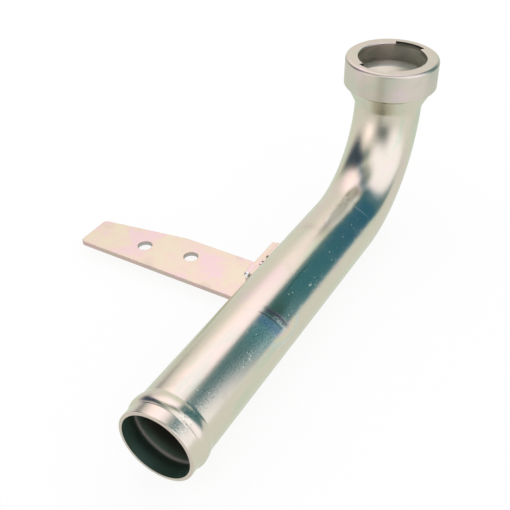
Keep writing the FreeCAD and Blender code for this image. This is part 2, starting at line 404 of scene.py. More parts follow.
boreLook = Values(
    plainLook,
    # rim and deep: the bore's colour darkened as painted shade; groove: a painted highlight; flare: the pale
    # film again where the neck lets light in
    rim=(0.25, 0.41, 0.34),
    deep=(0.39, 0.32, 0.28),
    groove=(0.85, 0.72, 0.70),
    flare=(0.70, 0.65, 0.52),
    deepFrom=(5, 26),  # mm along the tube
    flareFrom=(268, 281),
    grooveAt=10.8,
    grooveWidth=0.9,
    grooveShare=0.9,
    grooveDull=0.28,
    deepUneven=12,  # mm
    grooveUneven=0.6,
    flareUneven=6,
    cloud=70.0,
    rough=0.40,
    roughCloud=0.1,
)


def boreZinc(look):
    # Inside of the tube, darkened as painted shade: greenish at the hose end, brownish deeper, bright again
    # under the neck where light falls in, with a painted highlight along the groove behind the bead
    material, tree, shader, place = newMaterial("boreZinc", look)
    along = attribute(tree, "along") * inMm
    cloud = noiseAt(place, look.cloud, 3.0) - 0.5
    grain = useGroup(tree, steelGrain, Place=place, Grain_Size=look.grain)
    colour = mixColours(ramp(along + cloud * look.deepUneven, *look.deepFrom), look.rim, look.deep)
    inGroove = bell((along - look.grooveAt + cloud * look.grooveUneven) / look.grooveWidth)
    colour = mixColours(inGroove * look.grooveShare, colour, look.groove)
    colour = mixColours(ramp(along + cloud * look.flareUneven, *look.flareFrom), colour, look.flare)
    feed(shader.inputs["Base Color"], colour)
    feed(shader.inputs["Metallic"], 1.0 - inGroove * look.grooveDull)
    feed(shader.inputs["Roughness"], look.rough + cloud * look.roughCloud)
    bumpFrom(tree, shader, out(grain, "Height"), look)
    return material


# Limits say where a mark of the tube shows: a kind, a measure, how uneven it is, then numbers.
# A ramp has from, to and the values there, a band in, full, full and out, a bell its place and half width.
# A fade dies away with its measure, and times takes the measure as it is.
limitKinds = {
    "ramp": ramp,
    "band": between,
    "bell": lambda value, place, halfWidth: bell((value - place) / halfWidth),
    "fade": lambda value: calc("MINIMUM", calc("EXPONENT", value * -1.0), 1.0),
    "times": lambda value: value,
}
# limit for what lies in the teal band, which is partly stain and partly a painted dark reflection
inDarkBand = ("times", "stain", 0)
onSide = ("band", "round", 0, 18, 27, 56, 70)
besideMark = ("ramp", "round", 0, 56, 64)
tubeLook = Values(
    plainLook,
    cream=(0.62, 0.585, 0.475),
    streaks=(0.35, 1.5, 1.0),
    rough=0.22,
    roughSmudge=0.06,
    roughBruise=0.15,
    roughFlare=(262, 280, 0.0, 0.12),  # ramp along the tube
    bump=0.14,
    scratch=0.7,
    grainHeight=0.7,
    drawnHeight=0.5,
    drawn=(60, 2400, 1),
    ragged=150.0,  # scales of the noises and of the flecks' cells
    mottle=1200.0,
    scuffGrain=700.0,
    flecks=420.0,
    ringMark=80.5,  # mm along the tube at the top, with its lean in mm for each degree
    ringLean=0.08,
    bridgeLean=1.15,  # degrees for each mm along
    thumbAt=(156, -14),  # mm along and degrees, then the squares of its half sizes
    thumbSize=(14.0, 190.0),
    fringeAt=56,  # degrees, then the spread along and around
    fringeSpread=(0.035, 0.012),
    hairlineTop=15,  # degrees, with its bow in mm for each square degree
    hairlineBow=0.0015,
    scuff=(0.74, 0.72, 0.70),
    scuffDull=0.9,
    # tints of the teal band: partly the film's own stain, partly a painted dark reflection
    teal=(0.26, 0.52, 0.49),
    blue=(0.15, 0.36, 0.51),
    bluer=[("ramp", "along", 40, 112, 190)],
    stainRight=(-55, -5, 44, 60),  # ramps from the mark: right edge in degrees, then depth
    stainBefore=(-60, -4, 0.0, 0.12),
    stainPast=(0, 40, 0.30, 0.75),
    stain=[
        ("ramp", "round", 14, 19, 33),
        ("ramp", "inner", 14, -6, 7, 1.0, 0.0),
        ("ramp", "along", 20, 192, 218, 1.0, 0.0),
    ],
    bruise=[("bell", "past", 1.8, 2.6, 1.5), onSide],
    layers=[  # tint, share and limits, laid over the film in this order
        # painted reflection: the band's teal made lighter before the mark, where its dark reflection is
        # paler
        ("sheen", (0.54, 0.76, 0.70), 0.8, inDarkBand, ("ramp", "past", 12, -30, -6),
         ("ramp", "past", 0, -4, -2, 1.0, 0.0)),
        # painted reflection: the band made paler towards its right edge near the mark
        ("pale", (0.78, 0.86, 0.76), 0.55, inDarkBand, ("ramp", "round", 0, 36, 54),
         ("band", "past", 0, -36, -14, 12, 28)),
        ("lightGrain", (0.62, 0.70, 0.62), 0.75, inDarkBand, ("ramp", "past", 0, 0, 25, 1.0, 0.5),
         ("ramp", "mottle", 0, 0.50, 0.62)),
        ("darkGrain", (0.09, 0.18, 0.17), 0.65, inDarkBand, ("ramp", "past", 0, 0, 25, 1.0, 0.5),
         ("ramp", "mottle", 0, 0.47, 0.36)),
        # painted dark reflection across the bend, joining the band's upper end to a dark mirrored patch
        ("bridge", (0.26, 0.33, 0.34), 0.75, ("bell", "lean", 10, 261.5, 8.0),
         ("band", "along", 0, 202, 211, 234, 247)),
        ("rubbed", (0.82, 0.85, 0.82), 0.85, ("band", "round", 14, -1, 6, 19, 26),
         ("band", "along", 0, 154, 170, 194, 206)),
        ("thumbed", (0.50, 0.39, 0.38), 0.4, ("fade", "thumb", 2.5)),
        # painted dark reflection: the band darker and more olive just past the mark
        ("soot", (0.25, 0.29, 0.19), 0.8, inDarkBand, ("times", "isPast", 0),
         ("ramp", "past", 14, 3, 26, 1.0, 0.0), ("ramp", "round", 14, 38, 52, 1.0, 0.3)),
        ("streak", (0.13, 0.24, 0.24), 0.5, ("bell", "round", 5, 27.5, 1.7),
         ("band", "along", 0, 94, 106, 118, 136)),
        ("violet", (0.42, 0.48, 0.80), 0.45, ("bell", "past", 0, -4.5, 10 / 3), onSide),
        ("fringeRed", (0.72, 0.55, 0.52), 0.55, ("bell", "rings", 0, 1.3, 0.3), besideMark),
        ("fringeGold", (0.68, 0.63, 0.42), 0.55, ("bell", "rings", 0, 1.9, 0.3), besideMark),
        ("fringeTeal", (0.50, 0.62, 0.58), 0.55, ("bell", "rings", 0, 2.5, 0.3), besideMark),
        ("bruise", (0.10, 0.09, 0.14), 0.85, ("times", "bruise", 0)),
        ("seam", (0.30, 0.22, 0.20), 0.8, ("bell", "past", 0.48, -1.2, 0.6),
         ("band", "round", 0, 14, 22, 40, 52)),
        ("specks", (0.50, 0.54, 0.48), 0.42, ("times", "specks", 0)),
        ("smudge", (0.42, 0.43, 0.38), 0.12, ("times", "smudge", 0)),
        ("rimTan", (0.56, 0.47, 0.42), 0.6, ("ramp", "along", 0, 0.5, 0.05)),
    ],
    scuffs=[  # share and limits of what is rubbed dull, added up
        ("inMark", 0.6, ("bell", "past", 0, 0.8, 1.3), ("band", "round", 0, 34, 46, 60, 70),
         ("ramp", "scuffGrain", 0, 0.42, 0.60)),
        ("hairline", 0.5, ("bell", "bowed", 0, 187.6, 0.17), ("ramp", "round", 0, -16, -4),
         ("ramp", "round", 0, 42, 60, 1.0, 0.0)),
        ("nick", 0.8, ("bell", "along", 0, 117.2, 0.7), ("bell", "round", 0, 49.6, 1.2)),
        ("nick", 0.8, ("bell", "along", 0, 118.4, 0.4), ("bell", "round", 0, 51.0, 0.9)),
        ("nick", 0.8, ("bell", "along", 0, 55.6, 0.4), ("bell", "round", 0, 50.0, 2.2)),
        ("nick", 0.8, ("bell", "along", 0, 57.4, 0.3), ("bell", "round", 0, 47.0, 2.4)),
        ("flecks", 0.75, ("ramp", "cell", 0, 0.07, 0.19, 1.0, 0.0), ("ramp", "chance", 0, 0.5, 0.95),
         ("ramp", "along", 0, 192, 206, 1.0, 0.0), ("ramp", "round", 0, 10, 24, 0.25, 1.0)),
    ],
)


def shareOf(measures, limits, most=1.0):
    share = most
    for kind, name, uneven, *numbers in limits:
        share = limitKinds[kind](measures[name] + measures["ragged"] * uneven, *numbers) * share
    return share


def tubeMeasures(tree, look):
    # Along is in mm, round in degrees from the top, past in mm from the bending tool's mark
    along = attribute(tree, "along") * inMm
    turn = calc("ARCTAN2", *axes(attribute(tree, "around", "Vector"))[:2])
    degrees = turn * inDegrees
    unrolled = out(addNode(tree, "ShaderNodeCombineXYZ", X=along * mm, Y=turn * tubeRadius, Z=0.0))
    past = along - (look.ringMark + degrees * look.ringLean)
    onward = along - look.thumbAt[0]
    aside = degrees - look.thumbAt[1]
    below = degrees - look.fringeAt
    alongShare, aroundShare = look.fringeSpread
    fromTop = degrees - look.hairlineTop
    cells = addNode(tree, "ShaderNodeTexVoronoi", Vector=unrolled, Scale=look.flecks)
    measures = {
        "along": along,
        "round": degrees,
        "past": past,
        "isPast": calc("GREATER_THAN", past, 0.0),
        "inner": degrees - ramp(past, *look.stainRight),
        "ragged": noiseAt(unrolled, look.ragged, 4.0, 0.6) - 0.5,
        "mottle": noiseAt(unrolled, look.mottle, 3.0, 0.65),
        "lean": degrees + along * look.bridgeLean,
        "thumb": onward * onward / look.thumbSize[0] + aside * aside / look.thumbSize[1],
        "rings": calc("SQRT", past * past * alongShare + below * below * aroundShare),
        "bowed": along - fromTop * fromTop * look.hairlineBow,
        "scuffGrain": noiseAt(unrolled, look.scuffGrain, 3.0, 0.7),
        "cell": out(cells, "Distance"),
        "chance": axes(out(cells, "Color"))[0],
    }
    measures["stain"] = shareOf(measures, look.stain)
    measures["bruise"] = shareOf(measures, look.bruise)
    return measures, unrolled


def tubeZinc(look):
    # The film runs to teal down the tube's upper right side, past a mark left by the bending tool; this teal
    # band is partly the film's own stain and partly a painted dark reflection
    material, tree, shader, place = newMaterial("tubeZinc", look)
    measures, unrolled = tubeMeasures(tree, look)
    past = measures["past"]
    film = useGroup(tree, passivateTint, Place=stretched(unrolled, look.streaks, turn=4),
                    Cloud_Size=look.cloud, Drift=look.drift, Cream=(*look.cream, 1))
    grain = useGroup(tree, steelGrain, Place=place, Grain_Size=look.grain)
    wear = useGroup(tree, handlingMarks, Place=unrolled, Length=look.marks)
    measures["specks"] = out(grain, "Specks")
    measures["smudge"] = out(wear, "Smudge")

    # teal band, partly stain and partly painted dark reflection: narrow towards the hose end, full past the
    # mark and gone in the bend, then the marks
    before = ramp(past, *look.stainBefore) * calc("LESS_THAN", past, 0.0)
    depth = before + ramp(past, *look.stainPast) * measures["isPast"]
    hue = mixColours(shareOf(measures, look.bluer), look.teal, look.blue)
    colour = mixColours(measures["stain"] * depth, out(film, "Tint"), hue)
    for _, tint, share, *limits in look.layers:
        colour = mixColours(shareOf(measures, limits, share), colour, tint)
    scuff = 0.0
    for _, share, *limits in look.scuffs:
        scuff = scuff + shareOf(measures, limits, share)
    scuff = calc("MINIMUM", scuff, 1.0)
    feed(shader.inputs["Base Color"], mixColours(scuff, colour, look.scuff))
    feed(shader.inputs["Metallic"], 1.0 - scuff * look.scuffDull)
    rough = look.rough + (out(film, "Cloud") - 0.5) * look.roughCloud
    rough = rough + measures["bruise"] * look.roughBruise + measures["smudge"] * look.roughSmudge
    feed(shader.inputs["Roughness"], rough + ramp(measures["along"], *look.roughFlare))
    drawn = noiseAt(stretched(unrolled, look.drawn), 1.0, 2.0, 0.6)
    height = out(grain, "Height") * look.grainHeight + drawn * look.drawnHeight
    bumpFrom(tree, shader, height + out(wear, "Scratches") * -look.scratch, look)
    return material


tubeFinish = tubeZinc(tubeLook)
boreFinish = boreZinc(boreLook)
neckFinish = zincSteel("neckZinc", neckLook)
insideFinish = zincSteel("neckInside", insideLook)
notchFinish = zincSteel("notchWall", notchLook)
brazeFinish = zincSteel("brazeZinc", brazeLook)
brazeTopShadeFinish = zincSteel("brazeTopShade", brazeTopShadeLook)
bracketFinish = zincSteel("bracketZinc", bracketLook)
shearedFinish = zincSteel("shearedEdge", shearedLook)
holeFinish = zincSteel("holeWall", holeLook)
weldFinish = zincSteel("weldZinc", weldLook)
nuggetFinish = zincSteel("nuggetZinc", nuggetLook)
darkWeldFinish = zincSteel("weldDarkened", darkWeldLook)
print("finishes ready")


def addObject(name, data):
    piece = bpy.data.objects.new(name, data)
    scene.collection.objects.link(piece)
    return piece


def addPiece(name, shape, *finishes):
    mesh = bpy.data.meshes.new(name)
    shape.to_mesh(mesh)
    shape.free()
    for finish in finishes:
        mesh.materials.append(finish)
    return addObject(name, mesh)


def solvedMesh(piece):
    depsgraph = bpy.context.evaluated_depsgraph_get()
    solved = piece.evaluated_get(depsgraph)
    return bpy.data.meshes.new_from_object(solved, preserve_all_data_layers=True, depsgraph=depsgraph)


def settle(piece):
    # Live modifiers become a plain mesh
    mesh = solvedMesh(piece)
    piece.modifiers.clear()
    piece.data = mesh


def finishPiece(piece, node, creaseAngle, evenShade=False):
    mesh = piece.data
    mesh.polygons.foreach_set("use_smooth", [True] * len(mesh.polygons))
    mesh.set_sharp_from_angle(angle=radians(creaseAngle))
    if evenShade:
        weighted = piece.modifiers.new("evenShade", "WEIGHTED_NORMAL")
        weighted.keep_sharp = True
        weighted.weight = 100
        settle(piece)
    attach(piece, "root")
    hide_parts(node)
    print(f"{piece.name}: {len(piece.data.polygons)} faces")


# Tube: one rule gives the beaded hose end, the run, the square bend and the rise to the neck
tubeSizes = Values(
    wall=1.8 * mm,
    straight=191 * mm,
    bendRadius=58 * mm,
    spigot=6.5 * mm,
    beadRise=1.17 * mm,
    beadFront=3.0 * mm,
    beadBack=5.5 * mm,
    beadEase=0.6 * mm,  # where the bead's back and front meet the tube
    frontEase=0.15 * mm,
    rimRound=0.4 * mm,
    grooveShare=0.6,  # of the bead's rise, on the inside
    grooveShift=0.8 * mm,  # behind the bead's crest
    grooveWidth=3.4 * mm,
    flareRise=6.2 * mm,  # outside, at the neck
    flareDrop=11.8 * mm,
    flareEase=2.0 * mm,
    funnelRise=5.0 * mm,  # inside, at the neck
    funnelDrop=7.6 * mm,
    funnelEase=2.5 * mm,
    stretches=[  # length in mm and share of the rings, the last takes the rest
        (18, 0.34),
        (60, 0.09),
        (16, 0.15),
        (184, 0.30),
    ],
    rings=260,  # along the wall, outside and inside each
    sides=120,
    seamGap=1e-6,
    boreFrom=0.75,  # share of a face's corners that are inside
    marks=[  # place along the tube, lean for each radian, depth and half width
        (83 * mm, 4.6 * mm, 0.09 * mm, 1.3 * mm),
        (79.5 * mm, 4.6 * mm, 0.05 * mm, 0.6 * mm),
    ],
    markSpan=(0.15, 0.5, 1.2, 1.7),  # radians round from the top
    crease=40,  # degrees
)


def tubeTree(sizes, labels, outside, inside):
    tree, start, end, sockets = newTree("tubeByRule", "GeometryNodeTree",
                                        [(label, "Float", None) for label in labels],
                                        [("Geometry", "Geometry")])
    wires = [out(start, label) for label in labels]
    radius, length, wall, straight, bend, spigot, rise, front, back, rimRound = wires[:10]
    flareRise, flareDrop, funnelRise, funnelDrop = wires[10:]
    rows = 2 * sizes.rings + 1
    grid = addNode(tree, "GeometryNodeMeshGrid", Size_X=1.0, Size_Y=1.0, Vertices_X=rows,
                   Vertices_Y=sizes.sides + 1)
    gridX, gridY, _ = axes(out(tree.nodes.new("GeometryNodeInputPosition")))
    ring = calc("ROUND", (gridX + 0.5) * (rows - 1.0))
    turn = gridY * (2 * pi)

    # ring number to place along the tube: out along the outside and back along the inside
    isInside = calc("GREATER_THAN", ring, sizes.rings - 0.5)
    isInside = isInside * calc("LESS_THAN", ring, rows - 1.5)
    folded = calc("MINIMUM", ring, (2.0 * sizes.rings - 1.0) - ring)
    share = calc("MAXIMUM", folded, 0.0) / (sizes.rings - 1.0)
    along = 0.0
    done = 0.0
    placed = 0.0
    for stretch, part in sizes.stretches:
        along = along + ramp(share, done, done + part, 0.0, stretch * mm, smooth=False)
        done += part
        placed += stretch * mm
    along = along + ramp(share, done, 1.0, 0.0, length - placed, smooth=False)

    # bead: two arcs that meet at its crest, eased into the tube
    fromCrest = along - (spigot + front)
    isFront = calc("LESS_THAN", fromCrest, 0.0)
    flank = back + (front - back) * isFront
    arc = (flank * flank + rise * rise) / (rise * 2.0)
    drop = arc - calc("SQRT", calc("MAXIMUM", arc * arc - fromCrest * fromCrest, 0.0))
    ease = sizes.beadEase - isFront * (sizes.beadEase - sizes.frontEase)
    bead = calc("SMOOTH_MAX", rise - drop, 0.0, ease)

    # rim: rounded outer edge, then ring marks left by the bending tools, the flare and the inside
    short = calc("MAXIMUM", rimRound - along, 0.0)
    rim = rimRound - calc("SQRT", rimRound * rimRound - short * short)
    marks = 0.0
    markSide = between(turn, *sizes.markSpan)
    for place, lean, depth, halfWidth in sizes.marks:
        marks = marks + bell((along - place - turn * lean) / halfWidth) * markSide * depth
    fromTop = length - along
    flare = calc("SMOOTH_MAX", flareRise - fromTop * flareRise / flareDrop, 0.0, sizes.flareEase)
    funnel = funnelRise - fromTop * funnelRise / funnelDrop
    funnel = calc("SMOOTH_MAX", funnel, 0.0, sizes.funnelEase)
    outer = radius + bead + flare - rim - marks
    inGroove = bell((fromCrest - sizes.grooveShift) / sizes.grooveWidth)
    inner = radius - wall + inGroove * rise * sizes.grooveShare + funnel
    reach = outer + (inner - outer) * isInside

    # centre line
    angle = calc("MINIMUM", calc("MAXIMUM", (along - straight) / bend, 0.0), pi / 2)
    sine = calc("SINE", angle)
    cosine = calc("COSINE", angle)
    climb = calc("MAXIMUM", along - straight - bend * (pi / 2), 0.0)
    centreY = calc("MINIMUM", along, straight) + bend * sine
    centreZ = bend - bend * cosine + climb
    turnSine = calc("SINE", turn)
    turnCosine = calc("COSINE", turn)
    up = reach * turnCosine
    position = addNode(tree, "ShaderNodeCombineXYZ", X=reach * turnSine, Y=centreY - up * sine,
                       Z=centreZ + up * cosine)
    around = addNode(tree, "ShaderNodeCombineXYZ", X=turnSine, Y=turnCosine, Z=0.0)
    mesh = out(grid, "Mesh")
    for label, kind, domain, value in (("bore", "FLOAT", "FACE", isInside),
                                       ("along", "FLOAT", "POINT", along),
                                       ("around", "FLOAT_VECTOR", "POINT", out(around))):
        kept = tree.nodes.new("GeometryNodeStoreNamedAttribute")
        kept.data_type = kind
        kept.domain = domain
        mesh = out(fill(kept, {"Name": label, "Value": value, "Geometry": mesh}))
    placed = addNode(tree, "GeometryNodeSetPosition", Geometry=mesh, Position=out(position))
    closed = addNode(tree, "GeometryNodeMergeByDistance", Geometry=out(placed), Distance=sizes.seamGap)
    turned = addNode(tree, "GeometryNodeFlipFaces", Mesh=out(closed))
    real = addNode(tree, "GeometryNodeRealizeInstances", Geometry=out(turned))
    coated = addNode(tree, "GeometryNodeSetMaterial", Geometry=out(real), Material=outside)
    stored = tree.nodes.new("GeometryNodeInputNamedAttribute")
    stored.data_type = "FLOAT"
    stored.inputs["Name"].default_value = "bore"
    inBore = calc("GREATER_THAN", out(stored, "Attribute"), sizes.boreFrom)
    bored = addNode(tree, "GeometryNodeSetMaterial", Geometry=out(coated), Selection=inBore, Material=inside)
    tree.links.new(bored.outputs[0], end.inputs["Geometry"])
    return tree, sockets


def makeTube(sizes):
    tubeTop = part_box("filler_tube")[1].z
    length = sizes.straight + sizes.bendRadius * (pi / 2 - 1) + tubeTop
    values = {"Tube Radius": tubeRadius, "Length": length}
    for name in ("wall", "straight", "bendRadius", "spigot", "beadRise", "beadFront", "beadBack", "rimRound",
                 "flareRise", "flareDrop", "funnelRise", "funnelDrop"):
        label = "".join(" " + letter if letter.isupper() else letter for letter in name)
        values[label.title()] = sizes[name]
    tree, sockets = tubeTree(sizes, list(values), tubeFinish, boreFinish)
    piece = addObject("fillerTube", bpy.data.meshes.new("fillerTube"))
    rule = piece.modifiers.new("tubeByRule", "NODES")
    rule.node_group = tree
    for label, value in values.items():
        rule[sockets[label]] = value
    settle(piece)
    piece.data.materials.pop(index=0)  # the tree's grid leaves an empty slot
    finishPiece(piece, "filler_tube", sizes.crease)


makeTube(tubeSizes)


def arcPoints(centre, radius, fromAngle, toAngle, steps):
    # Points on a circle, angles in degrees
    points = []
    for step in range(steps + 1):
        angle = radians(fromAngle + (toAngle - fromAngle) * step / steps)
        points.append((centre[0] + radius * cos(angle), centre[1] + radius * sin(angle)))
    return points


def joinRings(shape, rings, followers):
    # Faces between each closed ring of points and the one that follows it
    count = len(rings[0])
    for first, second in zip(rings, followers):
        for index in range(count):
            after = (index + 1) % count
            shape.faces.new((first[index], second[index], second[after], first[after]))


def lathe(columns, axis, base):
    # columns holds (angle, section) pairs, all sections with as many points
    shape = bmesh.new()
    rings = []
    for angle, section in columns:
        x = cos(angle)
        y = sin(angle)
        rings.append([shape.verts.new((axis.x + r * x, axis.y + r * y, base + z)) for r, z in section])
    joinRings(shape, rings, rings[1:] + rings[:1])
    bmesh.ops.remove_doubles(shape, verts=shape.verts, dist=joinGap)
    bmesh.ops.dissolve_degenerate(shape, dist=joinGap, edges=shape.edges)
    bmesh.ops.recalc_face_normals(shape, faces=shape.faces)
    return shape


# Neck: a turned cup whose lip is cut away at two notches
neckSizes = Values(
    height=16.7 * mm,
    wall=3.4 * mm,
    easing=4.0 * mm,  # height over which the inside turns towards the flare
    easingSteps=6,
    lip=3.0 * mm,
    mouth=mounts["bayonet_mouth"]["dims"]["r_mm"] * mm,
    notchReach=23 * mm,
    notchWidth=50,  # degrees
    notchTurn=82,
    topRound=1.9 * mm,
    lipRound=0.9 * mm,
    footRound=0.4 * mm,
    hollow=0.6 * mm,  # corner under the lip
    sides=144,
    burr=0.22 * mm,  # broken edges of the notches
    burrAngle=50,  # degrees, from which an edge is broken
    slack=0.1 * mm,  # in the tests for the inside and the notches' walls
    band=0.3 * mm,
    upright=0.4,
    crease=40,
)


def neckProfile(sizes, radius, foot, inNotch):
    # Section from the foot, up the outside, over the lip and down the inside to the flare
    top = sizes.height
    mouth = sizes.notchReach if inNotch else sizes.mouth
    lipRound = sizes.burr if inNotch else sizes.lipRound
    under = top - sizes.lip
    cavity = radius - sizes.wall
    footRound = sizes.footRound
    edge = sizes.topRound
    hollow = sizes.hollow
    points = arcPoints((radius - footRound, footRound), footRound, -90, 0, 4)
    points += arcPoints((radius - edge, top - edge), edge, 0, 90, 10)
    points += arcPoints((mouth + lipRound, top - lipRound), lipRound, 90, 180, 6)
    points += [(mouth, under), (cavity - hollow, under)]
    points += arcPoints((cavity - hollow, under - hollow), hollow, 90, 0, 4)[1:]
    for step in range(sizes.easingSteps + 1):
        share = step / sizes.easingSteps
        points.append((cavity - (cavity - foot) * share * share, sizes.easing * (1 - share)))
    return points


def makeNeck(sizes):
    low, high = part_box("filler_neck")
    axis = (low + high) / 2
    radius = (high.x - low.x) / 2
    foot = tubeRadius + tubeSizes.funnelRise - tubeSizes.wall
    plain = neckProfile(sizes, radius, foot, False)
    cut = neckProfile(sizes, radius, foot, True)
    notch = sizes.notchWidth
    step = 360 / sizes.sides
    columns = []
    for side in range(2):
        notchStart = sizes.notchTurn + 180 * side - notch / 2
        for start, width, section in ((notchStart, notch, cut), (notchStart + notch, 180 - notch, plain)):
            count = max(2, round(width / step))
            for index in range(count + 1):
                columns.append((radians(start + width * index / count), section))
    shape = lathe(columns, axis, low.z)
    piece = addPiece("fillerNeck", shape, neckFinish, insideFinish, notchFinish)
    bevel = piece.modifiers.new("brokenEdges", "BEVEL")
    bevel.width = sizes.burr
    bevel.segments = 2
    bevel.limit_method = "ANGLE"
    bevel.angle_limit = radians(sizes.burrAngle)
    settle(piece)
    slack = sizes.slack
    band = sizes.band
    for face in piece.data.polygons:
        aside = Vector((face.center.x - axis.x, face.center.y - axis.y)).length
        below = face.center.z < high.z - sizes.lip + slack
        face.material_index = 1 if below and aside < radius - sizes.wall + slack else 0
        # notch walls take the near-black painted shade
        upright = abs(face.normal.z) < sizes.upright and face.center.z < high.z - band
        if not below and upright and sizes.mouth + band < aside < sizes.notchReach + slack:
            face.material_index = 2
    finishPiece(piece, "filler_neck", sizes.crease, True)


makeNeck(neckSizes)


# Braze: fills the corner between the flare and the neck's underside, a little uneven
brazeSizes = Values(
    ledge=0.6 * mm,  # of the neck's underside left bare
    drop=1.6 * mm,
    press=0.06 * mm,  # into the flare and the neck
    wave=0.10 * mm,
    waveScale=2.2,
    waveStart=0.3,
    bow=0.22,  # share of the way from the straight fillet to its corner
    seam=0.45 * mm,  # darker top of the ring: painted shade under the neck's edge
    sides=160,
    steps=10,
    crease=40,
)


def makeBraze(sizes):
    low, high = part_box("neck_braze")
    axis = (low + high) / 2
    neckLow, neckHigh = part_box("filler_neck")
    flareRadius = tubeRadius + tubeSizes.flareRise
    drop = sizes.drop
    press = sizes.press
    scale = sizes.waveScale
    toe = Vector(((neckHigh.x - neckLow.x) / 2 - sizes.ledge, drop))
    tip = Vector((flareRadius - drop * tubeSizes.flareRise / tubeSizes.flareDrop, 0.0))
    corner = Vector((flareRadius, drop))
    columns = []
    for side in range(sizes.sides):
        angle = 2 * pi * side / sizes.sides
        about = Vector((cos(angle) * scale, sin(angle) * scale, sizes.waveStart))
        section = []
        for index in range(sizes.steps + 1):
            share = index / sizes.steps
            bow = sin(pi * share)
            point = tip.lerp(toe, share).lerp(corner, sizes.bow * bow)
            section.append((point.x + noise.noise(about) * sizes.wave * bow * bow, point.y))
        section.append((toe.x, drop + press))
        section.append((flareRadius - press, drop + press))
        section.append((tip.x - press, 0.0))
        columns.append((angle, section))
    shape = lathe(columns, axis, high.z - drop)
    # the top of the ring takes the painted shade
    for face in shape.faces:
        if face.calc_center_median().z > high.z - sizes.seam:
            face.material_index = 1
    piece = addPiece("neckBraze", shape, brazeFinish, brazeTopShadeFinish)
    finishPiece(piece, "neck_braze", sizes.crease)


makeBraze(brazeSizes)


# Bracket: a sheet cut flat, drilled, then folded up against the tube
bracketSizes = Values(
    sheet=3.0 * mm,
    foldRadius=3.0 * mm,  # inside the fold
    taperStart=84 * mm,
    taper=9.5 * mm,
    taperRound=25 * mm,
    corner=3.0 * mm,
    flangeCorner=0.6 * mm,
    flangeInset=1.2 * mm,  # each side of the plate
    edgeRound=0.35 * mm,
    holeSides=48,
    holeBand=0.65 * mm,  # past a hole's wall, in the test for its faces
    topBand=1 * mm,  # of the flange's top, which keeps the plate's finish
    plateCuts=(-40 * mm, -60 * mm, -90 * mm, -115 * mm),  # extra edges across the plate
    cutGap=1e-8,
    foldSteps=12,
    crease=40,
)


def roundedCorner(before, corner, after, radius, steps=6):
    # Arc that takes the place of a corner of the outline
    if not radius:
        return [corner]
    inward = (before - corner).normalized()
    onward = (after - corner).normalized()
    half = inward.angle(onward) / 2
    back = radius / tan(half)
    centre = corner + (inward + onward).normalized() * (radius / sin(half))
    start = corner + inward * back - centre
    turn = start.angle_signed(corner + onward * back - centre)
    return [centre + Matrix.Rotation(-turn * step / steps, 2) @ start for step in range(steps + 1)]


def bracketOutline(corners):
    # corners holds each corner of the flat sheet with its radius
    outline = []
    for index, (corner, radius) in enumerate(corners):
        before = corners[index - 1][0]
        after = corners[(index + 1) % len(corners)][0]
        outline += roundedCorner(before, corner, after, radius)
    return outline


def bracketBlank(sizes, loops):
    # Flat sheet with rounded edges, its middle at height 0
    edge = sizes.edgeRound
    curve = bpy.data.curves.new("bracketBlank", "CURVE")
    curve.dimensions = "2D"
    curve.fill_mode = "BOTH"
    curve.extrude = sizes.sheet / 2 - edge
    curve.bevel_depth = edge
    curve.bevel_resolution = 2
    curve.offset = -edge
    for loop in loops:
        spline = curve.splines.new("POLY")
        spline.points.add(len(loop) - 1)
        for point, place in zip(spline.points, loop):
            point.co = (place.x, place.y, 0, 1)
        spline.use_cyclic_u = True
    piece = addObject("mountingBracket", curve)
    blank = solvedMesh(piece)
    bpy.data.objects.remove(piece)
    return blank


